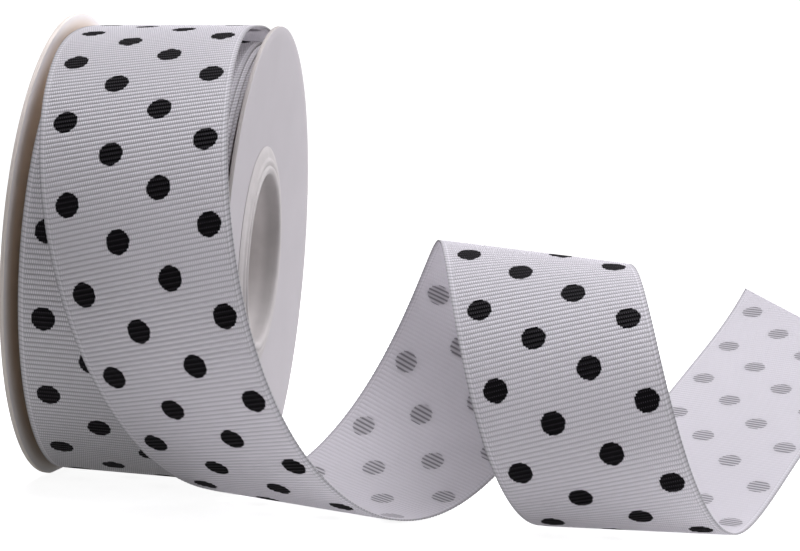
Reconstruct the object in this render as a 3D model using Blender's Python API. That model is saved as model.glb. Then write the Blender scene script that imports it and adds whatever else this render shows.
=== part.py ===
"""A spool of grosgrain ribbon: two board flanges on a paper core, the wound roll, and its loose curled end.

Metres, +Z up. The core lies along X, the flanges stand on Z = 0, and the loose end runs off to -Y and +X.
Each piece is made about the middle of the spool, and then moved with the spool to its place.
"""
import bpy
import bmesh
from bisect import bisect_right
from math import cos, pi, radians, sin, sqrt
from mathutils import Matrix, Quaternion, Vector

# Where the spool's middle stands, which leaves the origin under the middle of the whole
SPOOL_PLACE = Vector((-0.0682, -0.0054, 0))

# Driving dimensions
RIBBON_WIDTH = 0.038
RIBBON_THICK = 0.0010
PIECE_GAP = 0.0003
RIM_RADIUS = 0.0508
RIM_INSIDE = 0.0217         # from the middle of the spool to a flange's inner face at its rim
HUB_INSIDE = 0.0195         # the same at the core: the boards bow outwards a little
BOARD_THICK = 0.0009
FLAT_CHORD = 0.012          # length of the flat that each rim is pressed to where it stands
BORE_RADIUS = 0.0184
CORE_WALL = 0.0016
LIP_RADIUS = 0.0238
LIP_RAISE = 0.0012
ROLL_RADIUS = 0.0474        # of the roll where its last wrap lifts off
WRAP_STEP = 0.0014          # how much the roll's radius grows over that last wrap
ROLL_SAG_FORWARD = 0.0015
ROLL_SAG_DOWN = 0.0006
EDGE_SOFT = 0.0004

# The loose end starts this far round the roll, in degrees past the top towards the front
TAIL_START_ANGLE = -106
# Its shape: distance along it in mm, bend there in 1/m, and slope of the bend line to straight across.
# The rows go down the roll's front, round the first loop, over and round the second, and off backwards
LOOSE_END = (
    # along, bend, lean
    (0, 20.0, 0.00),
    (84, 20.5, 0.05),
    (104, 3.5, 0.40),
    (124, 19.0, 0.10),
    (164, 22.5, 0.30),
    (184, 18.0, 0.40),
    (224, 17.5, 0.25),
    (284, 23.5, 0.40),
    (324, 31.5, 0.40),
    (344, 41.5, 0.35),
    (364, 40.0, 0.45),
    (384, 25.0, 0.35),
    (404, 34.5, 0.25),
    (444, 37.0, 0.30),
    (464, 7.5, 0.15),
    (484, -0.5, 0.00),
    (524, 0.0, -0.10),
    (564, 12.0, -0.20),
    (604, 12.0, -0.20),
)
CUT_ALONG = 0.5540          # where the diagonal cut crosses the middle of the loose end
CUT_SLANT = 0.57            # how far the cut runs back along the ribbon for each step across it

ROUND_STEPS = 144
ACROSS_STEPS = 8
ROW_STEP = 0.0030
TRACK_STEP = 0.0010

AXIS_HEIGHT = sqrt(RIM_RADIUS ** 2 - (FLAT_CHORD / 2) ** 2)
CORE_RADIUS = BORE_RADIUS + CORE_WALL


def clear_scene():
    for obj in list(bpy.data.objects):
        bpy.data.objects.remove(obj, do_unlink=True)


def make_material(name, colour, roughness):
    material = bpy.data.materials.new(name)
    material.use_nodes = True
    shader = material.node_tree.nodes["Principled BSDF"]
    shader.inputs["Base Color"].default_value = (*colour, 1.0)
    shader.inputs["Roughness"].default_value = roughness
    return material


def add_object(name, bm, material, sharp_above=40):
    """Turn a bmesh into a named object in its place, smooth but for edges sharper than the given angle."""
    bmesh.ops.translate(bm, verts=bm.verts, vec=SPOOL_PLACE)
    bmesh.ops.recalc_face_normals(bm, faces=bm.faces[:])
    for face in bm.faces:
        face.smooth = True
    for edge in bm.edges:
        edge.smooth = edge.calc_face_angle(0.0) < radians(sharp_above)
    mesh = bpy.data.meshes.new(name)
    bm.to_mesh(mesh)
    bm.free()
    mesh.materials.append(material)
    obj = bpy.data.objects.new(name, mesh)
    bpy.context.scene.collection.objects.link(obj)
    return obj


def turn_profile(profile):
    """Spin a closed profile of (distance along X, radius) points about the spool's axis."""
    bm = bmesh.new()
    axis = Vector((0, 0, AXIS_HEIGHT))
    ring = [bm.verts.new((x, 0, AXIS_HEIGHT + radius)) for x, radius in profile]
    edges = [bm.edges.new((ring[i - 1], ring[i])) for i in range(len(ring))]
    bmesh.ops.spin(bm, geom=ring + edges, cent=axis, axis=(1, 0, 0), angle=2 * pi,
                   steps=ROUND_STEPS, use_merge=True)
    return bm


def board_inside(radius):
    """How far a flange's inner face is from the middle of the spool: it bows out towards the rim."""
    share = (radius - LIP_RADIUS) / (RIM_RADIUS - LIP_RADIUS)
    return HUB_INSIDE + (RIM_INSIDE - HUB_INSIDE) * min(max(share, 0.0), 1.0)


def make_flange(name, side, material):
    """A board disc with a hole for the core, a soft cut edge, and a small flat where it stands."""
    hole = CORE_RADIUS + PIECE_GAP
    soft = BOARD_THICK * 0.2
    radii = [hole, LIP_RADIUS, LIP_RADIUS + 0.3 * (RIM_RADIUS - LIP_RADIUS),
             LIP_RADIUS + 0.65 * (RIM_RADIUS - LIP_RADIUS), RIM_RADIUS - soft]
    inner = [(board_inside(radius), radius) for radius in radii]
    outer = [(x + BOARD_THICK, radius) for x, radius in reversed(inner)]
    rim = [(RIM_INSIDE + soft, RIM_RADIUS), (RIM_INSIDE + BOARD_THICK - soft, RIM_RADIUS)]
    bm = turn_profile([(side * x, radius) for x, radius in inner + rim + outer])
    cut = bmesh.ops.bisect_plane(bm, geom=bm.verts[:] + bm.edges[:] + bm.faces[:], dist=1e-7,
                                 plane_co=(0, 0, 0), plane_no=(0, 0, -1), clear_outer=True)
    open_edges = [item for item in cut["geom_cut"] if isinstance(item, bmesh.types.BMEdge)]
    bmesh.ops.edgeloop_fill(bm, edges=open_edges)
    return add_object(name, bm, material)


def make_core(material):
    """The paper tube through the spool, its ends rolled outwards over the flanges as two stepped lips."""
    face = HUB_INSIDE + BOARD_THICK
    seat = face + PIECE_GAP
    half = [
        (0.0, CORE_RADIUS),
        (seat, CORE_RADIUS),
        (seat, LIP_RADIUS - EDGE_SOFT),
        (seat + 0.25 * LIP_RAISE, LIP_RADIUS),
        (seat + 0.60 * LIP_RAISE, LIP_RADIUS - 0.2 * EDGE_SOFT),
        (seat + 0.75 * LIP_RAISE, LIP_RADIUS - 2.0 * EDGE_SOFT),
        (seat + 0.75 * LIP_RAISE, CORE_RADIUS + 3.0 * EDGE_SOFT),
        (seat + LIP_RAISE, CORE_RADIUS + EDGE_SOFT),
        (seat + LIP_RAISE, BORE_RADIUS + 1.5 * EDGE_SOFT),
        (seat + 0.7 * LIP_RAISE, BORE_RADIUS),
        (0.0, BORE_RADIUS),
    ]
    mirrored = [(-x, radius) for x, radius in reversed(half[1:-1])]
    return add_object("core", turn_profile(half + mirrored), material, sharp_above=50)


def roll_radius(angle):
    """The roll's outside radius, by the angle past the top towards the front: it grows over one turn."""
    turn = (angle - radians(TAIL_START_ANGLE)) / (2 * pi)
    return ROLL_RADIUS + WRAP_STEP * turn


def roll_point(angle, x, rise=0.0):
    """A point above (or, with a negative rise, under) the roll's outside."""
    radius = roll_radius(angle) + rise
    middle = AXIS_HEIGHT - ROLL_SAG_DOWN
    return Vector((x, -ROLL_SAG_FORWARD - radius * sin(angle), middle + radius * cos(angle)))


def roll_section(bm, angle):
    """The roll's outline at one angle, from the bore on the left round to the bore on the right."""
    half = RIBBON_WIDTH / 2
    bore = CORE_RADIUS + PIECE_GAP
    points = [
        Vector((-half, -bore * sin(angle), AXIS_HEIGHT + bore * cos(angle))),
        roll_point(angle, -half, -EDGE_SOFT),
        roll_point(angle, EDGE_SOFT - half),
        roll_point(angle, half - EDGE_SOFT),
        roll_point(angle, half, -EDGE_SOFT),
        Vector((half, -bore * sin(angle), AXIS_HEIGHT + bore * cos(angle))),
    ]
    return [bm.verts.new(point) for point in points]


def make_roll(material):
    """The wound ribbon: a ring with a step in its outside where the loose end begins."""
    bm = bmesh.new()
    start = radians(TAIL_START_ANGLE)
    sections = [roll_section(bm, start + 2 * pi * step / ROUND_STEPS) for step in range(ROUND_STEPS)]
    for near, far in zip(sections, sections[1:]):
        for i in range(6):
            bm.faces.new((near[i - 1], near[i], far[i], far[i - 1]))
    first, before = sections[0], sections[-1]
    top = roll_section(bm, start + 2 * pi)
    for vert in (top[0], top[5]):
        bm.verts.remove(vert)
    bm.faces.new((before[5], before[0], first[0], first[5]))
    bm.faces.new((before[0], before[1], top[1], first[1], first[0]))
    for i in (2, 3, 4):
        bm.faces.new((before[i - 1], before[i], top[i], top[i - 1]))
    bm.faces.new((before[4], before[5], first[5], first[4], top[4]))
    bm.faces.new((first[1], top[1], top[2], top[3], top[4], first[4], first[3], first[2]))
    return add_object("wound_roll", bm, material)


def tail_shape(along):
    """Bend (in 1/m) and lean at a distance along the loose end, read between the rows of its table."""
    rows = [(row[0] / 1000, row[1], row[2]) for row in LOOSE_END]
    index = min(bisect_right([row[0] for row in rows], along), len(rows) - 1)
    near, far = rows[index - 1], rows[index]
    share = (along - near[0]) / (far[0] - near[0])
    return near[1] + share * (far[1] - near[1]), near[2] + share * (far[2] - near[2])


def trace_tail():
    """Follow the middle of the loose end as a strip that bends without stretching.

    Each entry holds the distance along, the lean, the point, and the axes forward, inward and rightward.
    """
    angle = radians(TAIL_START_ANGLE) + PIECE_GAP / ROLL_RADIUS
    point = roll_point(angle, 0, PIECE_GAP + RIBBON_THICK / 2)
    climb = WRAP_STEP / (2 * pi * ROLL_RADIUS)
    axes = Matrix(((0, 0, 1), (-cos(angle), sin(angle), 0), (-sin(angle), -cos(angle), 0)))
    axes = Matrix.Rotation(climb, 3, "X") @ axes
    track = []
    along = 0.0
    while along <= LOOSE_END[-1][0] / 1000:
        track.append((along, tail_shape(along)[1], point.copy(), axes.copy()))
        bend, lean = tail_shape(along + TRACK_STEP / 2)
        turn = Vector((lean * bend, 0, bend)) * TRACK_STEP
        half_turn = Quaternion(turn.normalized(), turn.length / 2).to_matrix()
        point += axes @ half_turn @ Vector((TRACK_STEP, 0, 0))
        axes = axes @ half_turn @ half_turn
        along += TRACK_STEP
    return track


def tail_point(track, along, across):
    """Where a point of the flat ribbon lies once it is rolled up, with the direction of its inward face."""
    low, high = 0, len(track) - 1
    while high - low > 1:
        middle = (low + high) // 2
        if track[middle][0] + across * track[middle][1] <= along:
            low = middle
        else:
            high = middle
    ends = []
    for distance, lean, point, axes in (track[low], track[high]):
        forward, inward, right = axes.col
        ends.append((distance + across * lean, point + across * (right + lean * forward), inward))
    share = (along - ends[0][0]) / (ends[1][0] - ends[0][0])
    return ends[0][1].lerp(ends[1][1], share), ends[0][2].lerp(ends[1][2], share).normalized()


def tail_rows():
    """Rows of flat (along, across) places: square to the ribbon, then leaning over to the diagonal cut."""
    half = RIBBON_WIDTH / 2
    across = [half * (2 * i / ACROSS_STEPS - 1) for i in range(ACROSS_STEPS + 1)]
    square_end = CUT_ALONG - CUT_SLANT * half - 2 * ROW_STEP
    square_rows = round(square_end / ROW_STEP)
    rows = [[(square_end * i / square_rows, place) for place in across] for i in range(square_rows + 1)]
    cut = [CUT_ALONG - CUT_SLANT * place for place in across]
    slant_rows = round((CUT_ALONG - square_end) / ROW_STEP)
    for i in range(1, slant_rows + 1):
        share = i / slant_rows
        rows.append([(square_end + share * (end - square_end), place) for end, place in zip(cut, across)])
    return rows


def make_loose_end(material):
    """The last wrap and the end that curls off it, one closed sheet from its rolled-up rows."""
    bm = bmesh.new()
    track = trace_tail()
    outside, inside = [], []
    for row in tail_rows():
        places = [tail_point(track, along, across) for along, across in row]
        outside.append([bm.verts.new(point - inward * RIBBON_THICK / 2) for point, inward in places])
        inside.append([bm.verts.new(point + inward * RIBBON_THICK / 2) for point, inward in places])
    for sheet in (outside, inside):
        for near, far in zip(sheet, sheet[1:]):
            for i in range(ACROSS_STEPS):
                bm.faces.new((near[i], near[i + 1], far[i + 1], far[i]))
    rim = [edge for edge in bm.edges if edge.is_boundary]
    bmesh.ops.bridge_loops(bm, edges=rim)
    return add_object("loose_end", bm, material)


def main():
    clear_scene()
    board = make_material("coated_board", (0.72, 0.70, 0.72), 0.55)
    paper = make_material("core_paper", (0.66, 0.62, 0.60), 0.75)
    ribbon = make_material("grosgrain_ribbon", (0.86, 0.85, 0.88), 0.8)
    make_flange("flange_left", -1, board)
    make_flange("flange_right", 1, board)
    make_core(paper)
    make_roll(ribbon)
    make_loose_end(ribbon)


main()
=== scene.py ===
"""The looks of a spool of dotted grosgrain ribbon, whose loose end curls out beside it."""

from bisect import bisect_right
from math import cos, pi, radians, sin, tau

import bmesh
import bpy
import numpy as np
from mathutils import Matrix, Quaternion, Vector, noise


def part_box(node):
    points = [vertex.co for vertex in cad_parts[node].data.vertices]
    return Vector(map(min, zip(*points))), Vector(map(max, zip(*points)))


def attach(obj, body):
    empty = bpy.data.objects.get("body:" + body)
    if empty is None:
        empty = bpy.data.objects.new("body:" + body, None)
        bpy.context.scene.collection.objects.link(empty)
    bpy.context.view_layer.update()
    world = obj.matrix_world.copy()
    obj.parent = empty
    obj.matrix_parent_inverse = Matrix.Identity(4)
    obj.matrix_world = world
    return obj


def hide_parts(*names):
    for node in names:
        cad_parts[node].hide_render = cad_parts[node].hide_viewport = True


bl_info = {
    "name": "Ribbon spool",
    "version": (1, 0, 0),
    "blender": (4, 5, 0),
    "location": "View3D > Sidebar > Ribbon",
    "description": "Dresses a packed ribbon spool: ribbon, board flanges, paper core, plain studio",
    "category": "Object",
}

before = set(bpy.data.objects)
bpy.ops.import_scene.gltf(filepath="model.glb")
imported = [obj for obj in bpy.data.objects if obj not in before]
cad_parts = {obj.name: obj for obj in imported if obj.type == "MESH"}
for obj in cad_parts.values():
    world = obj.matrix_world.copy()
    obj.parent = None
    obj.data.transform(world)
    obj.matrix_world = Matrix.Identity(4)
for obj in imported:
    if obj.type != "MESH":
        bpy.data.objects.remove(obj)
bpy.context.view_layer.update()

CORE_LOW, CORE_HIGH = (Vector(corner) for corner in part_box("core"))
RIM_LOW, RIM_HIGH = (Vector(corner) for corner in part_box("flange_right"))
MIDDLE = (CORE_LOW + CORE_HIGH) / 2          # of the spool, on the axis of its core
RIM_RADIUS = (RIM_HIGH.y - RIM_LOW.y) / 2
LIP_RADIUS = (CORE_HIGH.y - CORE_LOW.y) / 2

# Sizes that the solids have too, in metres
PIECE_GAP = 0.0003
RIM_INSIDE = 0.0217         # from the middle of the spool to a flange's inner face at its rim
HUB_INSIDE = 0.0195         # the same at the core: the boards bow outwards a little
BOARD_THICK = 0.0009
BORE_RADIUS = 0.0184
CORE_WALL = 0.0016
CORE_RADIUS = BORE_RADIUS + CORE_WALL
ROLL_RADIUS = 0.0474        # of the roll where the loose end starts on it
WRAP_STEP = 0.0014          # how much that radius grows over the turn that follows
ROLL_SAG_FORWARD = 0.0015
ROLL_SAG_DOWN = 0.0006
SOLID_THICK = 0.0010        # of the loose end's solid, whose middle the cloth follows

# The loose end starts this far round the roll, past the top towards the front, so at the back
TAIL_START = radians(-106)
# Its shape: distance along it in mm, bend there in 1/m, and slope of the bend line to straight across
LOOSE_END = (
    # along, bend, lean
    (0, 20.0, 0.00),
    (84, 20.5, 0.05),
    (104, 3.5, 0.40),
    (124, 19.0, 0.10),
    (164, 22.5, 0.30),
    (184, 18.0, 0.40),
    (224, 17.5, 0.25),
    (284, 23.5, 0.40),
    (324, 31.5, 0.40),
    (344, 41.5, 0.35),
    (364, 40.0, 0.45),
    (384, 25.0, 0.35),
    (404, 34.5, 0.25),
    (444, 37.0, 0.30),
    (464, 7.5, 0.15),
    (484, -0.5, 0.00),
    (524, 0.0, -0.10),
    (564, 12.0, -0.20),
    (604, 12.0, -0.20),
)
CUT_ALONG = 0.5540          # where the diagonal cut crosses the middle of the loose end
CUT_SLANT = 0.57            # how far the cut runs back along the ribbon for each step across it

# Where one dot of each pair of columns is printed, in mm: across from the middle, along
LOOSE_COLUMNS = ((-13.8, 100.1), (-4.33, 108.95))
WOUND_COLUMNS = ((-13.9, 87.4), (-4.42, 96.15))

# The outer turns under the loose one, in metres: each has wandered a little further to the right
WOUND_TURNS = (
    # drift, depth, mesh columns across
    (0.0, 0.0, 12),
    (0.0010, 0.0006, 8),
    (0.0017, 0.0012, 8),
)
OLD_TURNS_DEPTH = 0.0018    # below this only the sides of the turns are made
OLD_TURNS_SHOWN = 42        # in this many steps down to the core
OLD_TURNS_INSET = 0.0002    # how far the sides lie inside the ribbon's width
TURN_JOG = 0.00012          # how far every other step stands in or out
TURN_WANDER = 0.0008        # and how far they drift together
OLD_TURNS_SAG = (0.6, 0.5)  # share of the roll's sag that they have, forwards and down

# A rolled lip of the core, in mm: out from the board, and past the lip's radius or the bore's
LIP_OUTLINE = (
    (0.00, 0.75), (0.06, 0.80), (0.24, 0.45), (0.46, -0.10), (0.58, -0.75), (0.62, -1.50), (0.68, -1.80),
    (0.92, -2.00), (1.00, -2.25), (1.00, -3.00), (0.88, -3.20), (0.88, -3.45), (1.16, -3.65), (1.28, -4.00),
)
BORE_MOUTH = ((1.12, 0.45), (0.70, 0.12))
LIP_GAP = 0.0001            # between a lip and its board

# How finely the curves are followed
TRACK_STEP = 0.00025        # metres along the loose end
ROLL_STEPS = 1440           # round the roll's outside
SIDE_STEPS = 180            # round its sides
BOARD_STEPS = 288           # round the flanges and the core
LOOSE_MESH_COLUMNS = 16     # across the loose end
EDGE_MESH_COLUMNS = 3       # of them in the woven edge on each side
RIB_MESH_ROWS = 4           # along each rib's pitch

UV_MIDDLE = 0.5             # across the flat UV map, at the ribbon's middle

# Share of the light that passes through the cloth, and little where more turns lie under it
PRINTED_LETS_THROUGH = 0.30
REVERSE_LETS_THROUGH = 0.49
WOUND_LETS_THROUGH = 0.12

# The studio, in metres about the model's origin
AIM_RIGHT = 0.0517          # what the camera aims at: this far right of the spool's middle, and this high
AIM_HEIGHT = 0.0490
LAMPS_AIM = (0, 0, 0.05)
LAMP_TINT = (1.0, 0.985, 1.05)
FLOOR_HALF = 6.0
BRIGHT_SIDE = (0.94, 0.34, 0)       # towards the part of the room that is bright
DIM_SHARE = 0.16            # of the room's light that comes from everywhere else
BACKDROP = 1.1              # brightness of the sweep and the room as the camera sees them: overexposed


class RibbonSettings(bpy.types.PropertyGroup):
    """Sizes and colours of the ribbon."""

    width: bpy.props.FloatProperty(
        name="Ribbon width", description="Width over both woven edges",
        default=0.038, min=0.006, max=0.1, subtype="DISTANCE", unit="LENGTH")
    thick: bpy.props.FloatProperty(
        name="Ribbon thickness", description="Thickness of the cloth over its ribs",
        default=0.00050, min=0.0001, max=0.001, precision=5, subtype="DISTANCE", unit="LENGTH")
    rib_pitch: bpy.props.FloatProperty(
        name="Rib pitch", description="Distance from one rib across the ribbon to the next",
        default=0.0010, min=0.0005, max=0.003, precision=5, subtype="DISTANCE", unit="LENGTH")
    rib_height: bpy.props.FloatProperty(
        name="Rib height", description="How far a rib stands above the groove beside it",
        default=0.00014, min=0.0, max=0.0005, precision=5, subtype="DISTANCE", unit="LENGTH")
    bead_pitch: bpy.props.FloatProperty(
        name="Bead pitch", description="Distance along a rib from one warp thread to the next",
        default=0.00044, min=0.0001, max=0.002, precision=5, subtype="DISTANCE", unit="LENGTH")
    edge_band: bpy.props.FloatProperty(
        name="Woven edge", description="Width of the flat woven band along each edge",
        default=0.0011, min=0.0, max=0.005, precision=5, subtype="DISTANCE", unit="LENGTH")
    dot_size: bpy.props.FloatProperty(
        name="Dot size", description="Diameter of a printed dot",
        default=0.0049, min=0.001, max=0.02, precision=5, subtype="DISTANCE", unit="LENGTH")
    dot_pitch: bpy.props.FloatProperty(
        name="Dot pitch", description="Distance along the ribbon from one dot to the next in its column",
        default=0.01749, min=0.004, max=0.1, precision=5, subtype="DISTANCE", unit="LENGTH")
    column_pitch: bpy.props.FloatProperty(
        name="Column pitch", description="Distance across the ribbon from one column of dots to the next",
        default=0.00948, min=0.004, max=0.1, precision=5, subtype="DISTANCE", unit="LENGTH")
    cloth: bpy.props.StringProperty(
        name="Cloth colour", description="sRGB hex colour of the bare white cloth", default="F4F2F5")
    ink: bpy.props.StringProperty(
        name="Print colour", description="sRGB hex colour of the printed dots", default="0B090C")
    # A painted highlight: the glint colour is painted on the print's bead crowns
    glint: bpy.props.StringProperty(
        name="Print glint colour", description="sRGB hex colour of a printed thread's crown in the light",
        default="5E5860")
    under_print: bpy.props.StringProperty(
        name="Thread under print", description="sRGB hex colour of the thread behind the ink",
        default="DAD6DB")
    print_gaps: bpy.props.StringProperty(
        name="Print gaps", description="sRGB hex colour of light that passes between the printed threads",
        default="8E8A90")


class SpoolSettings(bpy.types.PropertyGroup):
    """Colours of the board flanges and the paper core."""

    board: bpy.props.StringProperty(
        name="Board colour", description="sRGB hex colour of the coated outer face of a flange",
        default="B0ACAE")
    # The bare inner face is paler than the coated outside: partly its own colour, partly painted light for
    # the shade it lies in
    board_inside: bpy.props.StringProperty(
        name="Inner board colour",
        description="sRGB hex colour of the bare inner face of a flange, at its rim",
        default="DDD9D7")
    # Beside the ribbon the bare face is warmer and darker: partly its own colour, partly painted shade
    board_hub_and_shade: bpy.props.StringProperty(
        name="Hub colour",
        description="sRGB hex colour of the bare inner face of a flange, beside the ribbon",
        default="E2CAB0")
    # Both cut edges are the same bare pulp: the left one's colour is painted paler as painted light, the
    # right one's darker as painted shade
    left_edge: bpy.props.StringProperty(
        name="Left cut edge colour", description="sRGB hex colour of the left flange's bare cut edge",
        default="E9E1D8")
    right_edge: bpy.props.StringProperty(
        name="Right cut edge colour", description="sRGB hex colour of the right flange's bare cut edge",
        default="B6B1AD")
    paper: bpy.props.StringProperty(
        name="Core colour", description="sRGB hex colour of the rolled paper core", default="B7B3B1")


class StudioSettings(bpy.types.PropertyGroup):
    """Where the camera stands, and how bright the studio is."""

    turn: bpy.props.FloatProperty(
        name="Camera turn", description="How far the camera stands round to the right of straight in front",
        default=radians(6.2), subtype="ANGLE", unit="ROTATION")
    climb: bpy.props.FloatProperty(
        name="Camera climb", description="How far the camera looks down",
        default=radians(2.6), subtype="ANGLE", unit="ROTATION")
    roll: bpy.props.FloatProperty(
        name="Camera roll", description="How far the camera leans to the right",
        default=radians(4.1), subtype="ANGLE", unit="ROTATION")
    distance: bpy.props.FloatProperty(
        name="Camera distance", description="From the camera to what it aims at",
        default=0.465, subtype="DISTANCE", unit="LENGTH")
    lens: bpy.props.FloatProperty(
        name="Lens", description="Focal length on a 36 mm wide sensor", default=95.9, min=20, max=300,
        subtype="DISTANCE_CAMERA")
    key: bpy.props.FloatProperty(
        name="Top light", description="Power of the large soft light above", default=8.1, min=0,
        subtype="POWER", unit="POWER")
    side: bpy.props.FloatProperty(
        name="Side light", description="Power of the soft light at the right", default=4.3, min=0,
        subtype="POWER", unit="POWER")
    room: bpy.props.FloatProperty(
        name="Room light", description="Strength of the even light from the right and a little behind",
        default=0.50, min=0, max=3)
    glow: bpy.props.FloatProperty(
        name="Floor glow", description="Light that the white sweep gives back from the rest of the studio",
        default=0.14, min=0, max=3)
    sweep: bpy.props.StringProperty(
        name="Sweep colour", description="sRGB hex colour of the matt sweep under the spool",
        default="BCBCBC")


def linear(hex_colour):
    """An sRGB hex colour as linear RGBA."""
    parts = [int(hex_colour[i:i + 2], 16) / 255 for i in (0, 2, 4)]
    return [c / 12.92 if c <= 0.04045 else ((c + 0.055) / 1.055) ** 2.4 for c in parts] + [1.0]


def add_node(tree, kind, inputs=None, **settings):
    """Add a node with its settings; inputs maps a socket's name or number to a value or to a socket."""
    node = tree.nodes.new(kind)
    for name, value in settings.items():
        setattr(node, name, value)
    for name, value in (inputs or {}).items():
        if isinstance(value, bpy.types.NodeSocket):
            tree.links.new(value, node.inputs[name])
        else:
            node.inputs[name].default_value = value
    return node


def new_material(name):
    """An empty node material, with its tree and its output node."""
    material = bpy.data.materials.new(name)
    material.use_nodes = True
    material.node_tree.nodes.clear()
    return material, material.node_tree, material.node_tree.nodes.new("ShaderNodeOutputMaterial")


def finish_piece(name, bm, materials, node, sharp_above=None):
    """Turn a bmesh into an object that stands for a node of the model and rides with it."""
    for face in bm.faces:
        face.smooth = True
    if sharp_above is not None:
        for edge in bm.edges:
            edge.smooth = edge.calc_face_angle(0.0) < radians(sharp_above)
    mesh = bpy.data.meshes.new(name)
    bm.to_mesh(mesh)
    bm.free()
    for material in materials:
        mesh.materials.append(material)
    piece = bpy.data.objects.new(name, mesh)
    bpy.context.scene.collection.objects.link(piece)
    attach(piece, "root")
    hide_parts(node)
    return piece


def radius_of(tree, place):
    """Distance of a place from the axis of the core."""
    centred = add_node(tree, "ShaderNodeVectorMath", {
        0: place, 1: MIDDLE}, operation="SUBTRACT").outputs[0]
    flat = add_node(tree, "ShaderNodeVectorMath", {
        0: centred, 1: (0, 1, 1)}, operation="MULTIPLY").outputs[0]
    return add_node(tree, "ShaderNodeVectorMath", {0: flat}, operation="LENGTH").outputs["Value"]


# ---- Grosgrain: polyester, woven with thick ribs and a fine warp over them, screen-printed with dots ----

def place_in_mm(tree):
    """The place on the flat ribbon in mm: X across from its middle, Y along it.

    The UV map "flat" holds metres, with UV_MIDDLE added across.
    """
    flat = add_node(tree, "ShaderNodeUVMap", uv_map="flat").outputs[0]
    return add_node(tree, "ShaderNodeMapping", {
        "Vector": flat, "Scale": (1000, 1000, 1000), "Location": (-1000 * UV_MIDDLE, 0, 0)}).outputs[0]


def dot_mask(tree, place, ribbon, columns):
    """1 inside a printed dot: two square lattices, half a pitch apart, whose edges step with the weave."""
    # Each place is moved part of the way to the middle of its thread
    thread = (1000 * ribbon.bead_pitch, 500 * ribbon.rib_pitch, 1)
    snapped = add_node(tree, "ShaderNodeVectorMath", {0: place, 1: thread}, operation="SNAP").outputs[0]
    centred = add_node(tree, "ShaderNodeVectorMath", {
        0: snapped, 1: [size / 2 for size in thread]}, operation="ADD").outputs[0]
    stepped = add_node(tree, "ShaderNodeMix", {
        "Factor": 0.55, 4: place, 5: centred}, data_type="VECTOR").outputs[1]
    level = add_node(tree, "ShaderNodeVectorMath", {
        0: stepped, 1: (1, 1, 0)}, operation="MULTIPLY").outputs[0]
    cell = (2000 * ribbon.column_pitch, 1000 * ribbon.dot_pitch, 1000)
    nearest = []
    for across, along in columns:
        moved = add_node(tree, "ShaderNodeVectorMath", {
            0: level, 1: (across, along, 0)}, operation="SUBTRACT").outputs[0]
        wrapped = add_node(tree, "ShaderNodeVectorMath", {
            0: moved, 1: [size / 2 for size in cell], 2: [-size / 2 for size in cell]},
            operation="WRAP").outputs[0]
        nearest.append(add_node(tree, "ShaderNodeVectorMath", {
            0: wrapped}, operation="LENGTH").outputs["Value"])
    distance = add_node(tree, "ShaderNodeMath", {
        0: nearest[0], 1: nearest[1]}, operation="MINIMUM").outputs[0]
    radius = 500 * ribbon.dot_size
    blur = 0.09
    return add_node(tree, "ShaderNodeMapRange", {
        "Value": distance, "From Min": radius - blur, "From Max": radius + blur,
        "To Min": 1.0, "To Max": 0.0}, interpolation_type="SMOOTHSTEP").outputs[0]


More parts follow.
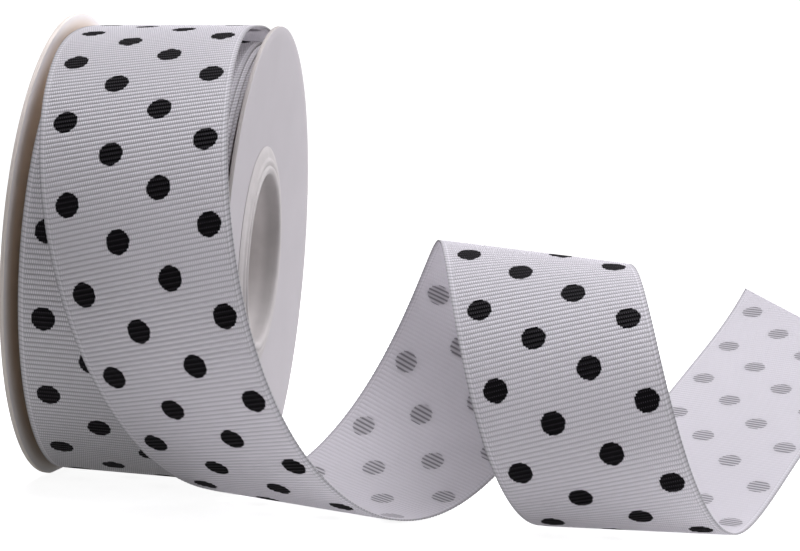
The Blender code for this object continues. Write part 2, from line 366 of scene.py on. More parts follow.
def make_grosgrain(name, ribbon, columns, lets_through, reverse=False):
    """White polyester grosgrain: matt with a soft sheen and thin enough to glow, with painted shade in its
    grooves and a painted highlight on its beads.

    The reverse is pressed smoother than the face and painted a little darker all over as painted shade, and
    the print only shows through on it.
    """
    material, tree, output = new_material(name)
    place = place_in_mm(tree)
    axes = add_node(tree, "ShaderNodeSeparateXYZ", {0: place})
    across, along = axes.outputs[0], axes.outputs[1]
    # Painted shade and light of the weave, as shares of the cloth's colour: dark in the grooves, full on
    # the face's crowns, and the reverse painted darker
    groove_shade, crown_light_and_shade = (0.76, 0.85) if reverse else (0.43, 1.0)
    cord_groove_shade, pick_gap_shade = (0.85, 0.85) if reverse else (0.76, 0.62)
    rim_shade = 0.72

    # Ribs run across, 1 mm apart; the warp makes a row of beads over each, staggered from rib to rib
    rib_turn = add_node(tree, "ShaderNodeMath", {
        0: along, 1: pi / (1000 * ribbon.rib_pitch)}, operation="MULTIPLY").outputs[0]
    rib_wave = add_node(tree, "ShaderNodeMath", {0: rib_turn}, operation="SINE").outputs[0]
    crown = add_node(tree, "ShaderNodeMath", {0: rib_wave}, operation="ABSOLUTE").outputs[0]
    rib_count = add_node(tree, "ShaderNodeMath", {
        0: along, 1: 1000 * ribbon.rib_pitch}, operation="DIVIDE").outputs[0]
    rib_number = add_node(tree, "ShaderNodeMath", {0: rib_count}, operation="FLOOR").outputs[0]
    warp = add_node(tree, "ShaderNodeMath", {
        0: across, 1: 1 / (1000 * ribbon.bead_pitch)}, operation="MULTIPLY").outputs[0]
    stagger = add_node(tree, "ShaderNodeMath", {
        0: rib_number, 1: 0.5, 2: warp}, operation="MULTIPLY_ADD").outputs[0]
    warp_turn = add_node(tree, "ShaderNodeMath", {0: stagger, 1: pi}, operation="MULTIPLY").outputs[0]
    warp_wave = add_node(tree, "ShaderNodeMath", {0: warp_turn}, operation="SINE").outputs[0]
    warp_round = add_node(tree, "ShaderNodeMath", {0: warp_wave, 1: 2.0}, operation="POWER").outputs[0]
    bead = add_node(tree, "ShaderNodeMapRange", {
        "Value": warp_round, "To Min": 0.35, "To Max": 1.0}).outputs[0]
    beads = add_node(tree, "ShaderNodeMath", {0: bead, 1: crown}, operation="MULTIPLY").outputs[0]

    # The woven edge: two narrow cords outside a fine groove, a slanting pick in each rib, and the rim;
    # painted shade darkens the groove, the gaps between the picks and the rim
    half = 500 * ribbon.width
    band = half - 1000 * ribbon.edge_band
    from_middle = add_node(tree, "ShaderNodeMath", {0: across}, operation="ABSOLUTE").outputs[0]
    edge = add_node(tree, "ShaderNodeMapRange", {
        "Value": from_middle, "From Min": band - 0.20, "From Max": band - 0.05}).outputs[0]
    in_band = add_node(tree, "ShaderNodeMath", {0: from_middle, 1: band}, operation="SUBTRACT").outputs[0]
    to_groove = add_node(tree, "ShaderNodeMath", {
        0: in_band, 1: 250 * ribbon.edge_band}, operation="PINGPONG").outputs[0]
    cord = add_node(tree, "ShaderNodeMapRange", {
        "Value": to_groove, "From Min": 0.0, "From Max": 0.2,
        "To Min": cord_groove_shade, "To Max": 1.0}).outputs[0]
    pick_slant = 1.1
    pick_turn = add_node(tree, "ShaderNodeMath", {
        0: in_band, 1: pick_slant, 2: rib_turn}, operation="MULTIPLY_ADD").outputs[0]
    pick_wave = add_node(tree, "ShaderNodeMath", {0: pick_turn}, operation="SINE").outputs[0]
    pick_rise = add_node(tree, "ShaderNodeMath", {0: pick_wave}, operation="ABSOLUTE").outputs[0]
    pick = add_node(tree, "ShaderNodeMapRange", {
        "Value": pick_rise, "From Min": 0.0, "From Max": 0.8,
        "To Min": pick_gap_shade, "To Max": 0.98}).outputs[0]
    rim = add_node(tree, "ShaderNodeMapRange", {
        "Value": from_middle, "From Min": half - 0.45, "From Max": half - 0.25,
        "To Min": 1.0, "To Max": rim_shade}).outputs[0]
    cord_and_rim = add_node(tree, "ShaderNodeMath", {0: cord, 1: rim}, operation="MULTIPLY").outputs[0]
    painted_edge_shade = add_node(tree, "ShaderNodeMath", {
        0: cord_and_rim, 1: pick}, operation="MULTIPLY").outputs[0]

    # Painted shade between ribs and beads, a painted highlight on a bead's crown, and the thread's tone a
    # little uneven in between
    thread = add_node(tree, "ShaderNodeTexNoise", {
        "Vector": place, "Scale": 0.9, "Detail": 3.0}).outputs["Fac"]
    painted_weave_shade = add_node(tree, "ShaderNodeMapRange", {
        "Value": beads, "From Min": 0.0, "From Max": 0.75,
        "To Min": groove_shade, "To Max": crown_light_and_shade}).outputs[0]
    weave_and_edge_shade = add_node(tree, "ShaderNodeMix", {0: edge, 2: painted_weave_shade, 3: painted_edge_shade}).outputs[0]
    slub = add_node(tree, "ShaderNodeMapRange", {
        "Value": thread, "To Min": 0.97, "To Max": 1.03}).outputs[0]
    shade = add_node(tree, "ShaderNodeMath", {0: weave_and_edge_shade, 1: slub}, operation="MULTIPLY").outputs[0]
    white = linear(ribbon.cloth)
    cloth = add_node(tree, "ShaderNodeMix", {
        "Factor": 1.0, 6: white, 7: shade}, data_type="RGBA", blend_type="MULTIPLY").outputs[2]
    # Light that passes through is held back only at the edge, by its painted shade
    cords = add_node(tree, "ShaderNodeMix", {0: edge, 2: 1.0, 3: painted_edge_shade}).outputs[0]
    lit_cloth = add_node(tree, "ShaderNodeMix", {
        "Factor": 1.0, 6: white, 7: cords}, data_type="RGBA", blend_type="MULTIPLY").outputs[2]

    # The print: solid on the face, with a painted glint on each bead; on the back it only shows through
    # faintly
    black = linear(ribbon.ink)
    dots = dot_mask(tree, place, ribbon, columns)
    glint = add_node(tree, "ShaderNodeMapRange", {
        "Value": beads, "From Min": 0.80, "From Max": 1.0}).outputs[0]
    ink = add_node(tree, "ShaderNodeMix", {
        0: glint, 6: black, 7: linear(ribbon.glint)}, data_type="RGBA").outputs[2]
    if reverse:
        through = add_node(tree, "ShaderNodeMapRange", {
            "Value": crown, "From Min": 0.35, "From Max": 0.9, "To Min": 0.60, "To Max": 0.08}).outputs[0]
        printed = add_node(tree, "ShaderNodeMath", {0: dots, 1: through}, operation="MULTIPLY").outputs[0]
        inside = 0.0
    else:
        printed = dots
        # The ink lies on the crowns alone: from inside the cloth, white thread and the gaps in it are met
        inside = add_node(tree, "ShaderNodeNewGeometry").outputs["Backfacing"]
    seen_ink = add_node(tree, "ShaderNodeMix", {
        0: inside, 6: ink, 7: linear(ribbon.under_print)}, data_type="RGBA").outputs[2]
    lit_ink = add_node(tree, "ShaderNodeMix", {
        0: inside, 6: black, 7: linear(ribbon.print_gaps)}, data_type="RGBA").outputs[2]
    surface = add_node(tree, "ShaderNodeMix", {
        0: printed, 6: cloth, 7: seen_ink}, data_type="RGBA").outputs[2]
    passing = add_node(tree, "ShaderNodeMix", {
        0: printed, 6: lit_cloth, 7: lit_ink}, data_type="RGBA").outputs[2]

    height = add_node(tree, "ShaderNodeMix", {0: edge, 2: beads, 3: painted_edge_shade}).outputs[0]
    bump = add_node(tree, "ShaderNodeBump", {
        "Strength": 0.5 if reverse else 0.9, "Distance": 0.00012, "Height": height}).outputs[0]
    shader = add_node(tree, "ShaderNodeBsdfPrincipled", {
        "Base Color": surface, "Roughness": 0.5, "IOR": 1.5, "Specular IOR Level": 0.1,
        "Sheen Weight": 0.02, "Sheen Roughness": 0.5, "Normal": bump}).outputs[0]
    glow = add_node(tree, "ShaderNodeBsdfTranslucent", {"Color": passing, "Normal": bump}).outputs[0]
    mix = add_node(tree, "ShaderNodeMixShader", {0: lets_through, 1: shader, 2: glow}).outputs[0]
    tree.links.new(mix, output.inputs[0])
    return material


def make_turns(ribbon):
    """The woven edges of the wound turns, seen from the side: fine matt threads laid round and round."""
    material, tree, output = new_material("grosgrain_turns")
    place = add_node(tree, "ShaderNodeTexCoord").outputs["Object"]
    radius = radius_of(tree, place)
    turn = add_node(tree, "ShaderNodeMath", {
        0: radius, 1: pi / ribbon.thick}, operation="MULTIPLY").outputs[0]
    wave = add_node(tree, "ShaderNodeMath", {0: turn}, operation="SINE").outputs[0]
    line = add_node(tree, "ShaderNodeMath", {0: wave}, operation="ABSOLUTE").outputs[0]
    threads = add_node(tree, "ShaderNodeTexNoise", {
        "Vector": place, "Scale": 700.0, "Detail": 2.0}).outputs["Fac"]
    mixed = add_node(tree, "ShaderNodeMath", {
        0: threads, 1: 0.5, 2: line}, operation="MULTIPLY_ADD").outputs[0]
    tone = add_node(tree, "ShaderNodeMapRange", {
        "Value": mixed, "From Min": 0.1, "From Max": 1.2, "To Min": 0.88, "To Max": 1.0}).outputs[0]
    colour = add_node(tree, "ShaderNodeMix", {
        "Factor": 1.0, 6: linear(ribbon.cloth), 7: tone},
        data_type="RGBA", blend_type="MULTIPLY").outputs[2]
    bump = add_node(tree, "ShaderNodeBump", {
        "Strength": 0.6, "Distance": 0.0001, "Height": mixed}).outputs[0]
    shader = add_node(tree, "ShaderNodeBsdfPrincipled", {
        "Base Color": colour, "Roughness": 0.8, "Specular IOR Level": 0.25, "Normal": bump}).outputs[0]
    tree.links.new(shader, output.inputs[0])
    return material


# ---- How the ribbon lies: a flat slab, bent along a track of points and axes ----

def rib_rise(along, ribbon):
    """How high the cloth stands at a distance along it: round ribs with narrow grooves between."""
    return ribbon.rib_height * abs(sin(pi * along / ribbon.rib_pitch)) ** 0.8


def flat_slab(ribbon, low, high, mesh_columns, cut=None):
    """A flat closed strip: X across, Y along from low to high, Z -1 on the face and 1 on the back."""
    bm = bmesh.new()
    rows = round(RIB_MESH_ROWS * (high - low) / ribbon.rib_pitch)
    bmesh.ops.create_grid(bm, x_segments=mesh_columns, y_segments=rows, size=1.0)
    # Some columns make the woven edge on each side, past a narrow groove, and the others share the ribs.
    # The edge's first column lies close to the groove, so their count starts late
    band = ribbon.width / 2 - ribbon.edge_band
    groove = 0.0002
    first = 0.7
    rib_columns = mesh_columns // 2 - EDGE_MESH_COLUMNS
    for vert in bm.verts:
        column = round(abs(vert.co.x) * mesh_columns / 2) - rib_columns
        if column > 0:
            place = band + ribbon.edge_band * (column - first) / (EDGE_MESH_COLUMNS - first)
        else:
            place = (band - groove) * (1 + column / rib_columns)
        vert.co.x = place if vert.co.x > 0 else -place
        vert.co.y = low + (high - low) * (vert.co.y + 1) / 2
        vert.co.z = -1.0
    if cut is not None:
        place, slant = cut
        bmesh.ops.bisect_plane(bm, geom=bm.verts[:] + bm.edges[:] + bm.faces[:], dist=1e-7,
                               plane_co=(0, place, 0), plane_no=(slant, 1, 0), clear_outer=True)
    made = bmesh.ops.extrude_face_region(bm, geom=bm.faces[:], use_keep_orig=True)
    back = [item for item in made["geom"] if isinstance(item, bmesh.types.BMVert)]
    bmesh.ops.translate(bm, verts=back, vec=(0, 0, 2))
    bmesh.ops.recalc_face_normals(bm, faces=bm.faces[:])
    flat = bm.loops.layers.uv.new("flat")
    for face in bm.faces:
        face.material_index = 1 if face.normal.z > 0.5 else 0
        for loop in face.loops:
            loop[flat].uv = (loop.vert.co.x + UV_MIDDLE, loop.vert.co.y)
    return bm


def add_mesh(bm, part):
    """Move the faces of one bmesh into another."""
    mesh = bpy.data.meshes.new("part")
    part.to_mesh(mesh)
    part.free()
    bm.from_mesh(mesh)
    bpy.data.meshes.remove(mesh)


def roll_radius(angle):
    """The roll's outside radius by the angle past the top towards the front: it grows over one turn."""
    return ROLL_RADIUS + WRAP_STEP * (angle - TAIL_START) / tau


def roll_point(angle, x, rise):
    """A point above the roll's outside, which sags a little forwards and down."""
    radius = roll_radius(angle) + rise
    forward = radius * sin(angle) + ROLL_SAG_FORWARD
    return MIDDLE + Vector((x, -forward, radius * cos(angle) - ROLL_SAG_DOWN))


def tail_shape(along):
    """Bend (in 1/m) and lean at a distance along the loose end, read between the rows of its table."""
    index = min(bisect_right([row[0] / 1000 for row in LOOSE_END], along), len(LOOSE_END) - 1)
    near, far = LOOSE_END[index - 1], LOOSE_END[index]
    share = (along * 1000 - near[0]) / (far[0] - near[0])
    return near[1] + share * (far[1] - near[1]), near[2] + share * (far[2] - near[2])


def trace_tail():
    """Follow the middle of the loose end as a strip that bends without stretching.

    Each row holds the distance along, the lean, the point, and the axes forward, inward and rightward.
    """
    angle = TAIL_START + PIECE_GAP / ROLL_RADIUS
    point = roll_point(angle, 0, PIECE_GAP + SOLID_THICK / 2)
    climb = WRAP_STEP / (tau * ROLL_RADIUS)
    axes = Matrix(((0, 0, 1), (-cos(angle), sin(angle), 0), (-sin(angle), -cos(angle), 0)))
    axes = Matrix.Rotation(climb, 3, "X") @ axes
    track = []
    for step in range(round(LOOSE_END[-1][0] / 1000 / TRACK_STEP)):
        along = step * TRACK_STEP
        track.append([along, tail_shape(along)[1], *point, *axes.col[0], *axes.col[1], *axes.col[2]])
        bend, lean = tail_shape(along + TRACK_STEP / 2)
        turn = Vector((lean * bend, 0, bend)) * TRACK_STEP
        half_turn = Quaternion(turn.normalized(), turn.length / 2).to_matrix()
        point = point + axes @ half_turn @ Vector((TRACK_STEP, 0, 0))
        axes = axes @ half_turn @ half_turn
    return np.array(track)


def roll_up(bm, track, ribbon):
    """Bend the flat slab along the track, and raise its ribs on both sides."""
    half = ribbon.width / 2
    columns = {}
    for vert in bm.verts:
        columns.setdefault(round(vert.co.x, 7), []).append(vert)
    forwards, inwards, rights = track[:, 5:8], track[:, 8:11], track[:, 11:14]
    for across, verts in columns.items():
        places = track[:, 0] + across * track[:, 1]
        points = track[:, 2:5] + across * (rights + track[:, 1:2] * forwards)
        wanted = [vert.co.y for vert in verts]
        rows = np.concatenate([points, inwards, rights], axis=1)
        spots = np.stack([np.interp(wanted, places, rows[:, i]) for i in range(9)], axis=1)
        # The woven edge is flatter, and at its rim each rib's thread turns back in a tiny loop
        share = 0.5 if abs(across) > half - ribbon.edge_band else 1.0
        picot = (1.0 if across > 0 else -1.0) if abs(across) > half - 1e-6 else 0.0
        for vert, along, spot in zip(verts, wanted, spots):
            rise = share * rib_rise(along, ribbon)
            # The back is pressed smoother than the face
            lift = ribbon.rib_height - (rise if vert.co.z < 0 else 0.5 * rise)
            off = vert.co.z * (ribbon.thick / 2 - lift)
            point, inward, right = Vector(spot[:3]), Vector(spot[3:6]), Vector(spot[6:])
            vert.co = point + inward.normalized() * off + right * picot * rise


def roll_track(rise):
    """The same kind of track once round the roll, for the turn of ribbon under the loose one."""
    track = []
    for step in range(ROLL_STEPS + 1):
        angle = TAIL_START + tau * step / ROLL_STEPS
        forward = (0, -cos(angle), -sin(angle))
        inward = (0, sin(angle), -cos(angle))
        along = ROLL_RADIUS * (angle - TAIL_START)
        track.append([along, 0.0, *roll_point(angle, 0, rise), *forward, *inward, 1, 0, 0])
    return np.array(track)


def turn_profile(bm, profile, steps=BOARD_STEPS):
    """Spin a closed profile of (distance along X, radius) points about the core's axis."""
    ring = [bm.verts.new((x + MIDDLE.x, MIDDLE.y, MIDDLE.z + radius)) for x, radius in profile]
    edges = [bm.edges.new((ring[i - 1], ring[i])) for i in range(len(ring))]
    bmesh.ops.spin(bm, geom=ring + edges, cent=MIDDLE, axis=(1, 0, 0), angle=tau, steps=steps,
                   use_merge=True)
    bmesh.ops.recalc_face_normals(bm, faces=bm.faces[:])


# ---- Coated board: grey-white paper over pale pulp, die-cut, so its edge shows the bare layers ----

def make_board(name, face_colour, hub_colour_and_shade):
    """Paperboard, coated or bare: smooth, matt and faintly mottled, warmer and darker towards the hub,
    partly in its own colour and partly as painted shade.
    """
    material, tree, output = new_material(name)
    place = add_node(tree, "ShaderNodeTexCoord").outputs["Object"]
    mottle = add_node(tree, "ShaderNodeTexNoise", {
        "Vector": place, "Scale": 90.0, "Detail": 4.0}).outputs["Fac"]
    cloud = add_node(tree, "ShaderNodeTexNoise", {
        "Vector": place, "Scale": 22.0, "Detail": 2.0}).outputs["Fac"]
    both = add_node(tree, "ShaderNodeMath", {0: mottle, 1: cloud}, operation="ADD").outputs[0]
    tone = add_node(tree, "ShaderNodeMapRange", {
        "Value": both, "From Min": 0.6, "From Max": 1.4, "To Min": 0.95, "To Max": 1.02}).outputs[0]
    # Towards the hub the colour holds painted shade beside the ribbon as well as the board's own warmer
    # colour
    rimward = add_node(tree, "ShaderNodeMapRange", {
        "Value": radius_of(tree, place), "From Min": ROLL_RADIUS - 0.001,
        "From Max": ROLL_RADIUS + 0.003}).outputs[0]
    tint_and_shade = add_node(tree, "ShaderNodeMix", {
        0: rimward, 6: linear(hub_colour_and_shade), 7: linear(face_colour)}, data_type="RGBA").outputs[2]
    colour = add_node(tree, "ShaderNodeMix", {
        "Factor": 1.0, 6: tint_and_shade, 7: tone}, data_type="RGBA", blend_type="MULTIPLY").outputs[2]
    grain = add_node(tree, "ShaderNodeTexNoise", {
        "Vector": place, "Scale": 1400.0, "Detail": 2.0}).outputs["Fac"]
    bump = add_node(tree, "ShaderNodeBump", {
        "Strength": 0.12, "Distance": 0.0001, "Height": grain}).outputs[0]
    shader = add_node(tree, "ShaderNodeBsdfPrincipled", {
        "Base Color": colour, "Roughness": 0.58, "Specular IOR Level": 0.3, "Normal": bump}).outputs[0]
    tree.links.new(shader, output.inputs[0])
    return material


def make_board_edge(name, edge_colour):
    """The die-cut edge of the board: bare pulp in fine layers, rough and a little darker between them."""
    material, tree, output = new_material(name)
    place = add_node(tree, "ShaderNodeTexCoord").outputs["Object"]
    stretched = add_node(tree, "ShaderNodeMapping", {
        "Vector": place, "Scale": (5200, 120, 120)}).outputs[0]
    layers = add_node(tree, "ShaderNodeTexNoise", {
        "Vector": stretched, "Scale": 1.0, "Detail": 3.0}).outputs["Fac"]
    tone = add_node(tree, "ShaderNodeMapRange", {
        "Value": layers, "From Min": 0.3, "From Max": 0.7, "To Min": 0.82, "To Max": 1.04}).outputs[0]
    colour = add_node(tree, "ShaderNodeMix", {
        "Factor": 1.0, 6: linear(edge_colour), 7: tone},
        data_type="RGBA", blend_type="MULTIPLY").outputs[2]
    bump = add_node(tree, "ShaderNodeBump", {
        "Strength": 0.4, "Distance": 0.0001, "Height": layers}).outputs[0]
    shader = add_node(tree, "ShaderNodeBsdfPrincipled", {
        "Base Color": colour, "Roughness": 0.9, "Specular IOR Level": 0.2, "Normal": bump}).outputs[0]
    tree.links.new(shader, output.inputs[0])
    return material


# ---- Core: a tube of rolled paper, whose fibres show close up ----

def make_core_paper(spool):
    """Rolled uncoated paper: soft, matt and fibrous, with painted light along its bore and painted shade
    just inside each lip.
    """
    material, tree, output = new_material("rolled_paper")
    place = add_node(tree, "ShaderNodeTexCoord").outputs["Object"]
    fibre = add_node(tree, "ShaderNodeTexNoise", {
        "Vector": place, "Scale": 260.0, "Detail": 4.0}).outputs["Fac"]
    tone = add_node(tree, "ShaderNodeMapRange", {
        "Value": fibre, "From Min": 0.3, "From Max": 0.7, "To Min": 0.93, "To Max": 1.03}).outputs[0]
    # Painted shade in the bore just inside each lip, and painted light in between
    centred = add_node(tree, "ShaderNodeVectorMath", {
        0: place, 1: MIDDLE}, operation="SUBTRACT").outputs[0]
    mirrored = add_node(tree, "ShaderNodeVectorMath", {0: centred}, operation="ABSOLUTE").outputs[0]
    sideways = add_node(tree, "ShaderNodeSeparateXYZ", {0: mirrored}).outputs[0]
    bore_light_and_shade = add_node(tree, "ShaderNodeMapRange", {
        "Value": sideways, "From Min": HUB_INSIDE - 0.0025, "From Max": HUB_INSIDE,
        "To Min": 1.4, "To Max": 0.95}, interpolation_type="SMOOTHSTEP").outputs[0]
    off_bore = add_node(tree, "ShaderNodeMapRange", {
        "Value": radius_of(tree, place), "From Min": BORE_RADIUS + 0.0001,
        "From Max": BORE_RADIUS + 0.0003}).outputs[0]
    painted_bore_light_and_shade = add_node(tree, "ShaderNodeMix", {0: off_bore, 2: bore_light_and_shade, 3: 1.0}).outputs[0]
    shade = add_node(tree, "ShaderNodeMath", {0: tone, 1: painted_bore_light_and_shade}, operation="MULTIPLY").outputs[0]
    colour = add_node(tree, "ShaderNodeMix", {
        "Factor": 1.0, 6: linear(spool.paper), 7: shade},
        data_type="RGBA", blend_type="MULTIPLY").outputs[2]
    bump = add_node(tree, "ShaderNodeBump", {
        "Strength": 0.3, "Distance": 0.0001, "Height": fibre}).outputs[0]
    shader = add_node(tree, "ShaderNodeBsdfPrincipled", {
        "Base Color": colour, "Roughness": 0.8, "Specular IOR Level": 0.25, "Normal": bump}).outputs[0]
    tree.links.new(shader, output.inputs[0])
    return material


# ---- The pieces ----

def board_inside(radius):
    """How far a flange's inner face is from the middle of the spool: it bows out towards the rim."""
    share = (radius - LIP_RADIUS) / (RIM_RADIUS - LIP_RADIUS)
    return HUB_INSIDE + (RIM_INSIDE - HUB_INSIDE) * min(max(share, 0.0), 1.0)


def build_flange(name, node, side, materials):
    """A board disc with crisp pressed corners, bowed a little outwards, standing on a small flat."""
    hole = CORE_RADIUS + PIECE_GAP
    soft = BOARD_THICK * 0.16
    steps = 12
    radii = [hole] + [LIP_RADIUS + (RIM_RADIUS - soft - LIP_RADIUS) * i / steps for i in range(steps + 1)]
    inner = [(board_inside(radius), radius) for radius in radii]
    outer = [(x + BOARD_THICK, radius) for x, radius in reversed(inner)]
    rim_outside = RIM_INSIDE + BOARD_THICK
    rim = [(RIM_INSIDE + 0.3 * soft, RIM_RADIUS - 0.4 * soft), (RIM_INSIDE + soft, RIM_RADIUS),
           (rim_outside - soft, RIM_RADIUS), (rim_outside - 0.3 * soft, RIM_RADIUS - 0.4 * soft)]
    bm = bmesh.new()
    turn_profile(bm, [(side * x, radius) for x, radius in inner + rim + outer])
    cut = bmesh.ops.bisect_plane(bm, geom=bm.verts[:] + bm.edges[:] + bm.faces[:], dist=1e-7,
                                 plane_co=(0, 0, 0), plane_no=(0, 0, -1), clear_outer=True)
    open_edges = [item for item in cut["geom_cut"] if isinstance(item, bmesh.types.BMEdge)]
    bmesh.ops.edgeloop_fill(bm, edges=open_edges)
    bmesh.ops.recalc_face_normals(bm, faces=bm.faces[:])
    for face in bm.faces:
        # Coated outside; bare, with painted light and painted shade, on the side that faces the ribbon; and
        # cut edges
        face.material_index = 2 if abs(face.normal.x) < 0.9 else (0 if face.normal.x * side > 0 else 1)
    return finish_piece(name, bm, materials, node, sharp_above=40)


class RIBBON_OT_flanges(bpy.types.Operator):
    """Add the two board flanges"""

    bl_idname = "ribbon.flanges"
    bl_label = "Add flanges"

    def execute(self, context):
        spool = context.scene.spool_settings
        # The bare inner faces carry painted light, and painted shade towards the hub
        faces = [make_board("coated_paperboard", spool.board, spool.board),
                 make_board("bare_paperboard_light_and_shade", spool.board_inside, spool.board_hub_and_shade)]
        # The left cut edge is painted paler, as painted light, and the right one darker, as painted shade
        left_edge = make_board_edge("cut_edge_painted_light", spool.left_edge)
        right_edge = make_board_edge("cut_edge_painted_shade", spool.right_edge)
        build_flange("left_flange_board", "flange_left", -1, faces + [left_edge])
        build_flange("right_flange_board", "flange_right", 1, faces + [right_edge])
        return {"FINISHED"}


class RIBBON_OT_core(bpy.types.Operator):
    """Add the paper core with its rolled lips"""

    bl_idname = "ribbon.core"
    bl_label = "Add core"

    def execute(self, context):
        # Half of the outline: out along the tube to its rolled lip, and back along the bore
        seat = HUB_INSIDE + BOARD_THICK + LIP_GAP
        half = [(0.0, CORE_RADIUS), (seat, CORE_RADIUS)]
        half += [(seat + out / 1000, LIP_RADIUS + past / 1000) for out, past in LIP_OUTLINE]
        half += [(seat + out / 1000, BORE_RADIUS + past / 1000) for out, past in BORE_MOUTH]
        half += [(seat, BORE_RADIUS), (0.0, BORE_RADIUS)]
        bm = bmesh.new()
        turn_profile(bm, half + [(-x, radius) for x, radius in reversed(half[1:-1])])
        paper = make_core_paper(context.scene.spool_settings)
        finish_piece("paper_core_tube", bm, [paper], "core", sharp_above=50)
        return {"FINISHED"}


class RIBBON_OT_roll(bpy.types.Operator):
    """Add the wound ribbon under the loose turn"""

    bl_idname = "ribbon.roll"
    bl_label = "Add wound roll"

    def execute(self, context):
        ribbon = context.scene.ribbon_settings
        face = make_grosgrain("woven_grosgrain_wound", ribbon, WOUND_COLUMNS, WOUND_LETS_THROUGH)
        turns = make_turns(ribbon)
        bm = bmesh.new()
        for drift, depth, mesh_columns in WOUND_TURNS:
            slab = flat_slab(ribbon, 0.0, tau * ROLL_RADIUS, mesh_columns)
            roll_up(slab, roll_track(-ribbon.thick / 2 - depth), ribbon)
            bmesh.ops.translate(slab, verts=slab.verts, vec=(drift, 0, 0))
            add_mesh(bm, slab)
        for item in bm.faces:
            item.material_index = 0
        # Under them, the sides of the older turns, each set a hair in or out from the next
        outer, inner = ROLL_RADIUS - OLD_TURNS_DEPTH, CORE_RADIUS + PIECE_GAP
        right = []
        for i in range(OLD_TURNS_SHOWN + 1):
            radius = outer + (inner - outer) * i / OLD_TURNS_SHOWN
            wander = TURN_WANDER * noise.noise((i * 0.23, 3.1, 0.0)) + (TURN_JOG if i % 2 else -TURN_JOG)
            right.append((ribbon.width / 2 - OLD_TURNS_INSET + wander, radius))
        left = [(-x, radius) for x, radius in reversed(right)]
        ring = bmesh.new()
        turn_profile(ring, right + left, steps=SIDE_STEPS)
        forward, down = OLD_TURNS_SAG
        sag = (0, -ROLL_SAG_FORWARD * forward, -ROLL_SAG_DOWN * down)
        bmesh.ops.translate(ring, verts=ring.verts, vec=sag)
        for item in ring.faces:
            item.material_index = 1
        add_mesh(bm, ring)
        finish_piece("wound_ribbon_roll", bm, [face, turns], "wound_roll",
                     sharp_above=60)
        return {"FINISHED"}


class RIBBON_OT_loose_end(bpy.types.Operator):
    """Add the loose turn of ribbon and the end that curls away from it"""

    bl_idname = "ribbon.loose_end"
    bl_label = "Add loose end"

    def execute(self, context):
        ribbon = context.scene.ribbon_settings
        face = make_grosgrain("woven_grosgrain_printed", ribbon, LOOSE_COLUMNS, PRINTED_LETS_THROUGH)
        back = make_grosgrain("woven_grosgrain_reverse", ribbon, LOOSE_COLUMNS, REVERSE_LETS_THROUGH,
                              reverse=True)
        length = CUT_ALONG + CUT_SLANT * ribbon.width / 2
        bm = flat_slab(ribbon, 0.0, length, LOOSE_MESH_COLUMNS, cut=(CUT_ALONG, CUT_SLANT))
        roll_up(bm, trace_tail(), ribbon)
        piece = finish_piece("loose_ribbon_end", bm, [face, back], "loose_end",
                             sharp_above=70)
        return {"FINISHED"}


# ---- The studio: a white sweep and room, two softboxes and a long lens ----

def add_camera(scene, studio):
    """A long lens, in front of the spool and a little to its right, that leans to the right."""
    turn, climb = studio.turn, studio.climb
    look = Vector((-sin(turn) * cos(climb), cos(turn) * cos(climb), -sin(climb)))
    aim = Vector((MIDDLE.x + AIM_RIGHT, MIDDLE.y, AIM_HEIGHT))
    camera = bpy.data.objects.new("camera", bpy.data.cameras.new("camera"))
    camera.data.lens = studio.lens
    camera.data.sensor_width = 36.0
    camera.data.clip_start = 0.01
    camera.data.clip_end = 50.0
    camera.location = aim - look * studio.distance
    facing = look.to_track_quat("-Z", "Y").to_matrix()
    camera.rotation_euler = (facing @ Matrix.Rotation(studio.roll, 3, "Z")).to_euler()
    scene.collection.objects.link(camera)
    scene.camera = camera


def make_sweep(studio):
    """Matt white paper, so overexposed where the camera sees it that only a faint shadow shows."""
    material, tree, output = new_material("matt_white_sweep")
    place = add_node(tree, "ShaderNodeTexCoord").outputs["Object"]
    away = add_node(tree, "ShaderNodeVectorMath", {0: place}, operation="LENGTH").outputs["Value"]
    bright = add_node(tree, "ShaderNodeMapRange", {
        "Value": away, "From Min": 0.15, "From Max": 0.6, "To Min": 0.90, "To Max": BACKDROP}).outputs[0]
    seen = add_node(tree, "ShaderNodeLightPath").outputs["Is Camera Ray"]
    strength = add_node(tree, "ShaderNodeMix", {0: seen, 2: studio.glow, 3: bright}).outputs[0]
    paint = add_node(tree, "ShaderNodeBsdfDiffuse", {"Color": linear(studio.sweep)}).outputs[0]
    lift = add_node(tree, "ShaderNodeEmission", {"Color": (1, 1, 1, 1), "Strength": strength}).outputs[0]
    both = add_node(tree, "ShaderNodeAddShader", {0: paint, 1: lift}).outputs[0]
    tree.links.new(both, output.inputs[0])
    return material


def add_floor(scene, studio):
    """The pale floor, wide enough to show no horizon."""
    bm = bmesh.new()
    bmesh.ops.create_grid(bm, x_segments=1, y_segments=1, size=FLOOR_HALF)
    mesh = bpy.data.meshes.new("floor")
    bm.to_mesh(mesh)
    bm.free()
    mesh.materials.append(make_sweep(studio))
    floor = bpy.data.objects.new("floor", mesh)
    scene.collection.objects.link(floor)


def add_lamps(scene, studio):
    """Two square softboxes, unseen themselves: one above, and one at the right and a little behind."""
    for name, power, place, size in (
            ("top_softbox", studio.key, (0.05, -0.02, 0.80), 0.7),
            ("side_softbox", studio.side, (0.62, 0.42, 0.32), 0.6)):
        light = bpy.data.objects.new(name, bpy.data.lights.new(name, "AREA"))
        light.data.shape = "SQUARE"
        light.data.size = size
        light.data.energy = power
        light.data.color = LAMP_TINT
        light.location = place
        light.rotation_euler = (Vector(LAMPS_AIM) - Vector(place)).to_track_quat("-Z", "Y").to_euler()
        light.visible_camera = False
        scene.collection.objects.link(light)


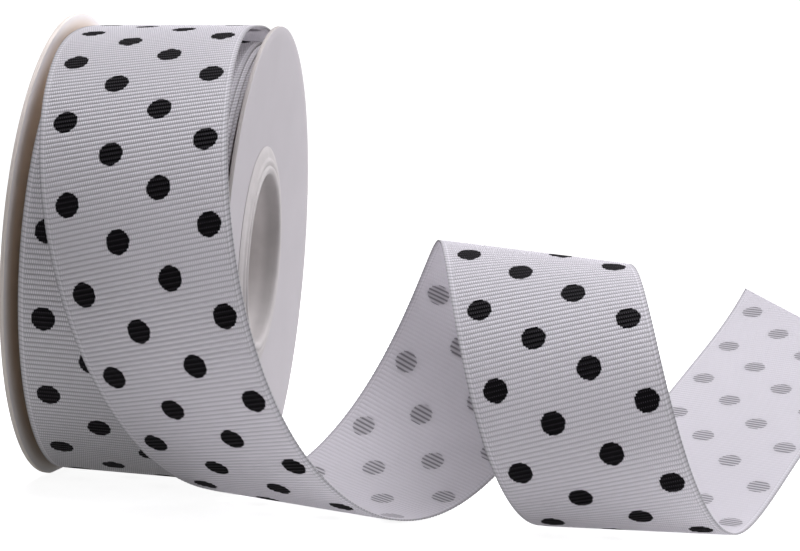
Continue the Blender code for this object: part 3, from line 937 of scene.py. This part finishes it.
def light_room(scene, studio):
    """Even light from one side of a white room, and a little from everywhere else."""
    world = bpy.data.worlds.new("studio")
    scene.world = world
    world.use_nodes = True
    tree = world.node_tree
    tree.nodes.clear()
    way = add_node(tree, "ShaderNodeTexCoord").outputs["Generated"]
    rightward = add_node(tree, "ShaderNodeVectorMath", {
        0: way, 1: BRIGHT_SIDE}, operation="DOT_PRODUCT").outputs["Value"]
    strength = add_node(tree, "ShaderNodeMapRange", {
        "Value": rightward, "From Min": 0.0, "From Max": 0.8,
        "To Min": DIM_SHARE * studio.room, "To Max": studio.room}).outputs[0]
    seen = add_node(tree, "ShaderNodeLightPath").outputs["Is Camera Ray"]
    level = add_node(tree, "ShaderNodeMix", {0: seen, 2: strength, 3: BACKDROP}).outputs[0]
    room = add_node(tree, "ShaderNodeBackground", {"Color": (1, 1, 1, 1), "Strength": level}).outputs[0]
    end = tree.nodes.new("ShaderNodeOutputWorld")
    tree.links.new(room, end.inputs[0])


class RIBBON_OT_studio(bpy.types.Operator):
    """Add the camera, the pale floor and the soft lights"""

    bl_idname = "ribbon.studio"
    bl_label = "Add studio"

    def execute(self, context):
        scene = context.scene
        add_camera(scene, scene.studio_settings)
        add_floor(scene, scene.studio_settings)
        add_lamps(scene, scene.studio_settings)
        light_room(scene, scene.studio_settings)
        scene.view_settings.view_transform = "Standard"
        return {"FINISHED"}


class RIBBON_PT_panel(bpy.types.Panel):
    """Builds the spool piece by piece"""

    bl_idname = "RIBBON_PT_panel"
    bl_label = "Ribbon spool"
    bl_space_type = "VIEW_3D"
    bl_region_type = "UI"
    bl_category = "Ribbon"

    def draw(self, context):
        scene = context.scene
        for settings in (scene.ribbon_settings, scene.spool_settings, scene.studio_settings):
            for name in settings.bl_rna.properties.keys():
                if name not in ("rna_type", "name"):
                    self.layout.prop(settings, name)
        for operator in OPERATORS:
            self.layout.operator(operator.bl_idname)


OPERATORS = (RIBBON_OT_studio, RIBBON_OT_flanges, RIBBON_OT_core, RIBBON_OT_roll, RIBBON_OT_loose_end)
SETTINGS = (RibbonSettings, SpoolSettings, StudioSettings)


def register():
    """Make the settings, the operators and the panel known, as an add-on does."""
    for item in SETTINGS + OPERATORS + (RIBBON_PT_panel,):
        bpy.utils.register_class(item)
    bpy.types.Scene.ribbon_settings = bpy.props.PointerProperty(type=RibbonSettings)
    bpy.types.Scene.spool_settings = bpy.props.PointerProperty(type=SpoolSettings)
    bpy.types.Scene.studio_settings = bpy.props.PointerProperty(type=StudioSettings)


def unregister():
    """Take back what register did."""
    del bpy.types.Scene.ribbon_settings
    del bpy.types.Scene.spool_settings
    del bpy.types.Scene.studio_settings
    for item in reversed(SETTINGS + OPERATORS + (RIBBON_PT_panel,)):
        bpy.utils.unregister_class(item)


def main():
    """Build everything in order."""
    register()
    bpy.ops.ribbon.studio()
    bpy.ops.ribbon.flanges()
    bpy.ops.ribbon.core()
    bpy.ops.ribbon.roll()
    bpy.ops.ribbon.loose_end()


if __name__ == "__main__":
    main()
